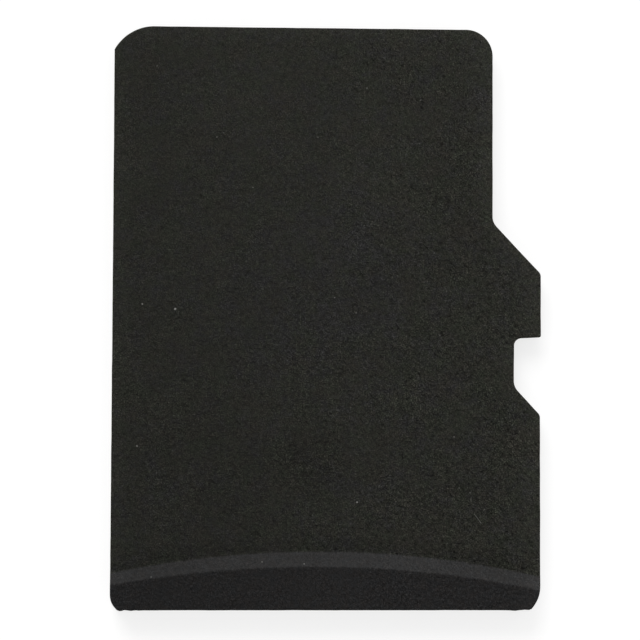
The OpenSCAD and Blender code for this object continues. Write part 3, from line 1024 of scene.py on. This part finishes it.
class CARD_OT_moulding(Operator):
    """Builds the moulded body as one fine mesh with cut edges, ramp and ridge"""

    bl_idname = "card.moulding"
    bl_label = "Moulded body"

    def execute(self, context):
        s = sizes()
        ring = cut_edges(card_outline())
        skin = Skin("moulded_body", ring, LAMINATE_TOP, s.thickness)
        under = skin.holes(LAMINATE_TOP)
        rim = ring - outward(ring) * s.edge_radius
        top = label_height(rim[:, 0], rim[:, 1])
        rows = [skin.edge_row(ring, LAMINATE_TOP)]
        for share in WALL_ROWS:
            heights = LAMINATE_TOP + (top - s.edge_radius - LAMINATE_TOP) * share
            scuffs = scuffed(ring, heights, MOULDING_SCUFF, SEED + 5)
            rows.append(skin.edge_row(scuffs, heights))
        for angle in np.radians(ROUND_ROWS):
            inset = ring - outward(ring) * s.edge_radius * (1 - math.cos(angle))
            heights = top - s.edge_radius * (1 - math.sin(angle))
            rows.append(skin.edge_row(inset, heights))
        skin.wall(rows)
        skin.cover(rows[0], under, up=False)
        skin.cover(rows[-1], [], up=True, loose=label_points(), height_at=label_height)
        skin.finished(moulding_finish())
        return {"FINISHED"}


class CARD_OT_laminate(Operator):
    """Builds the glass and epoxy core and the solder mask on both its sides"""

    bl_idname = "card.laminate"
    bl_label = "Laminate"

    def execute(self, context):
        ring = cut_edges(card_outline())
        self.make_layer("laminate_core", ring, MASK_TOP, CORE_TOP, 6, core_finish(), "laminate")
        self.make_layer("die_side_mask", ring, CORE_TOP, LAMINATE_TOP, 2,
                        mask_finish("die_side_mask", False), "die_side_mask")
        self.make_contact_side(ring)
        return {"FINISHED"}

    def make_layer(self, node, ring, floor, ceiling, steps, finish, slot):
        """A flat layer whose wall is scuffed between its two faces."""
        skin = Skin(node, ring, floor, ceiling)
        below, above = skin.holes(floor), skin.holes(ceiling)
        rows = [skin.edge_row(ring, floor)]
        for i in range(1, steps):
            height = floor + (ceiling - floor) * i / steps
            scuffs = scuffed(ring, height, LAMINATE_SCUFF, SEED + 6)
            rows.append(skin.edge_row(scuffs, height))
        rows.append(skin.edge_row(ring, ceiling))
        skin.wall(rows)
        skin.cover(rows[0], below, up=False)
        skin.cover(rows[-1], above, up=True)
        skin.finished(finish)

    def make_contact_side(self, ring):
        """The outer mask: a soft lower edge, and the copper under it standing out a little."""
        s = sizes()
        skin = Skin("contact_side_mask", ring, 0.0, MASK_TOP)
        below, above = skin.holes(0.0), skin.holes(MASK_TOP)
        starts = np.array([edge.verts[0].co[:2] for edge in above])
        ends = np.array([edge.verts[1].co[:2] for edge in above])

        def sunk(x, y):
            points = np.column_stack([x, y])
            gaps = gap_to(points, starts, ends)
            gaps[within(points, starts, ends)] = 0.0
            return smooth(gaps / COPPER_SHOULDER) * s.mask_sink

        rows = []
        for angle in np.radians(ROUND_ROWS[::-1]):
            inset = ring - outward(ring) * s.mask_edge * (1 - math.cos(angle))
            depth = s.mask_sink + s.mask_edge * (1 - math.sin(angle))
            rows.append(skin.edge_row(inset, depth))
        rows.append(skin.edge_row(ring, MASK_TOP))
        skin.wall(rows)
        skin.cover(rows[0], below, up=False, loose=grid_points(s.mask_step), height_at=sunk)
        skin.cover(rows[-1], above, up=True)
        skin.finished(mask_finish("contact_side_mask", True))


class CARD_OT_contacts(Operator):
    """Finishes the eight gold contacts, the bond fingers and the capacitor lands"""

    bl_idname = "card.contacts"
    bl_label = "Contacts"

    def execute(self, context):
        gold = gold_finish()
        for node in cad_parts:
            if node.startswith("contact_") and node != "contact_side_mask":
                dress(node, gold)
        dress("bond_fingers", gold)
        dress("capacitor_lands", gold)
        return {"FINISHED"}


class CARD_OT_dies(Operator):
    """Finishes the two dies, their films and their bond wires"""

    bl_idname = "card.dies"
    bl_label = "Dies and wires"

    def execute(self, context):
        shades = colours()
        silicon = grain_finish("silicon", shades.silicon, 0.2, metallic=0.6, grain=6.0,
                               depth=0.0004, spread=0.03)
        film = grain_finish("die_film", shades.film, 0.6, grain=9.0)
        wire = grain_finish("wire_gold", shades.gold, 0.25, metallic=1.0, grain=40.0,
                            depth=0.0004, spread=0.03)
        for name in ("flash", "controller"):
            dress(name + "_die", silicon)
            dress(name + "_die_film", film)
        for name in ("flash_bond_wires", "controller_bus_wires", "controller_host_wires"):
            dress(name, wire)
        return {"FINISHED"}


class CARD_OT_capacitors(Operator):
    """Finishes the three capacitors, their plated ends and their solder"""

    bl_idname = "card.capacitors"
    bl_label = "Capacitors"

    def execute(self, context):
        shades = colours()
        ceramic = grain_finish("capacitor_ceramic", shades.ceramic, 0.55, grain=30.0)
        for i in (1, 2, 3):
            dress(f"capacitor_{i}", ceramic)
        dress("capacitor_ends", grain_finish("tin", shades.tin, 0.35, metallic=1.0, grain=24.0))
        dress("solder_joints", grain_finish("solder", shades.tin, 0.3, metallic=1.0, grain=14.0))
        return {"FINISHED"}


class CARD_OT_stage(Operator):
    """Makes the floor, the light and the camera of the photograph"""

    bl_idname = "card.stage"
    bl_label = "Stage"

    def execute(self, context):
        self.make_floor()
        self.make_light(context)
        self.make_camera(context)
        return {"FINISHED"}

    def make_floor(self):
        """A pale round floor that shows the card's shadow and can be seen through from below."""
        f = Finish("floor", Roughness=1.0)
        f.put(Base_Color=FLOOR_GREY, Emission_Color=(1.0, 1.0, 1.0),
              Emission_Strength=FLOOR_GLOW)
        below = Value(f, f.node("ShaderNodeNewGeometry").outputs["Backfacing"])
        shown = f.seen_directly() * (1 - below)
        clear = f.node("ShaderNodeBsdfTransparent")
        mixed = f.node("ShaderNodeMixShader", None,
                       {0: shown, 1: clear.outputs[0], 2: f.shader.outputs[0]})
        f.feed(f.out.inputs["Surface"], mixed.outputs[0])
        mesh = bmesh.new()
        angles = np.linspace(0, 2 * math.pi, 96, endpoint=False)
        mesh.faces.new([mesh.verts.new((FLOOR_REACH * math.cos(a), FLOOR_REACH * math.sin(a),
                                        -FLOOR_DROP)) for a in angles])
        data = bpy.data.meshes.new("floor")
        mesh.to_mesh(data)
        mesh.free()
        add_object(data, f)

    def make_light(self, context):
        """An even pale room with a soft key lamp over the contact end."""
        world = bpy.data.worlds.new("soft_room")
        context.scene.world = world
        w = NodeTree(world)
        room = w.node("ShaderNodeBackground", None, {"Color": (1, 1, 1), "Strength": ROOM_LIGHT})
        white = w.node("ShaderNodeBackground", None, {"Color": (1, 1, 1), "Strength": 1.0})
        mixed = w.node("ShaderNodeMixShader", None,
                       {0: w.seen_directly(), 1: room.outputs[0], 2: white.outputs[0]})
        w.node("ShaderNodeOutputWorld", None, {"Surface": mixed.outputs[0]})
        lamp = bpy.data.lights.new("key", "SUN")
        lamp.energy = KEY_LIGHT
        lamp.angle = math.radians(KEY_SPREAD)
        key = bpy.data.objects.new("key", lamp)
        context.scene.collection.objects.link(key)
        key.rotation_euler = Vector(KEY_DIRECTION).to_track_quat("-Z", "Y").to_euler()

    def make_camera(self, context):
        """The photograph's camera, found from the card's own corners."""
        data = bpy.data.cameras.new("camera")
        data.sensor_width = 36.0
        data.lens = LENS
        data.clip_start = 0.001
        data.clip_end = 5.0
        camera = bpy.data.objects.new("camera", data)
        context.scene.collection.objects.link(camera)
        tip, yaw, roll = (math.radians(a) for a in CAMERA_TURNS)
        turn = (Matrix.Rotation(roll, 3, "Z") @ Matrix.Rotation(yaw, 3, "Y")
                @ Matrix.Rotation(tip, 3, "X"))
        flip = Matrix.Diagonal((1, -1, -1))
        rows = [flip @ turn.row[i] for i in range(3)]
        axes = Matrix((rows[0], -rows[1], -rows[2])).transposed()
        shift = Vector(CAMERA_SHIFT) * MM
        place = flip @ -(turn.transposed() @ shift)
        place.z += sizes().thickness
        camera.matrix_world = Matrix.Translation(place) @ axes.to_4x4()
        context.scene.camera = camera


class CARD_PT_panel(Panel):
    """The card's pieces, sizes and colours"""

    bl_label = "Card"
    bl_space_type = "VIEW_3D"
    bl_region_type = "UI"
    bl_category = "Card"

    def draw(self, context):
        for operator in OPERATORS:
            self.layout.operator(operator.bl_idname)
        for group in (context.scene.card_sizes, context.scene.card_colours):
            column = self.layout.column()
            for name in type(group).__annotations__:
                column.prop(group, name)


OPERATORS = (CARD_OT_moulding, CARD_OT_laminate, CARD_OT_contacts, CARD_OT_dies,
             CARD_OT_capacitors, CARD_OT_stage)
CLASSES = (CardSizes, CardColours, *OPERATORS, CARD_PT_panel)


def register():
    """Registers the classes and hangs the sizes and colours on the scene."""
    for item in CLASSES:
        bpy.utils.register_class(item)
    bpy.types.Scene.card_sizes = PointerProperty(type=CardSizes)
    bpy.types.Scene.card_colours = PointerProperty(type=CardColours)


def unregister():
    """Takes back what register does."""
    del bpy.types.Scene.card_colours
    del bpy.types.Scene.card_sizes
    for item in reversed(CLASSES):
        bpy.utils.unregister_class(item)


def main():
    """Builds the whole scene."""
    register()
    bpy.context.scene.view_settings.view_transform = "Standard"
    bpy.ops.card.moulding()
    bpy.ops.card.laminate()
    bpy.ops.card.contacts()
    bpy.ops.card.dies()
    bpy.ops.card.capacitors()
    bpy.ops.card.stage()


if __name__ == "__main__":
    main()
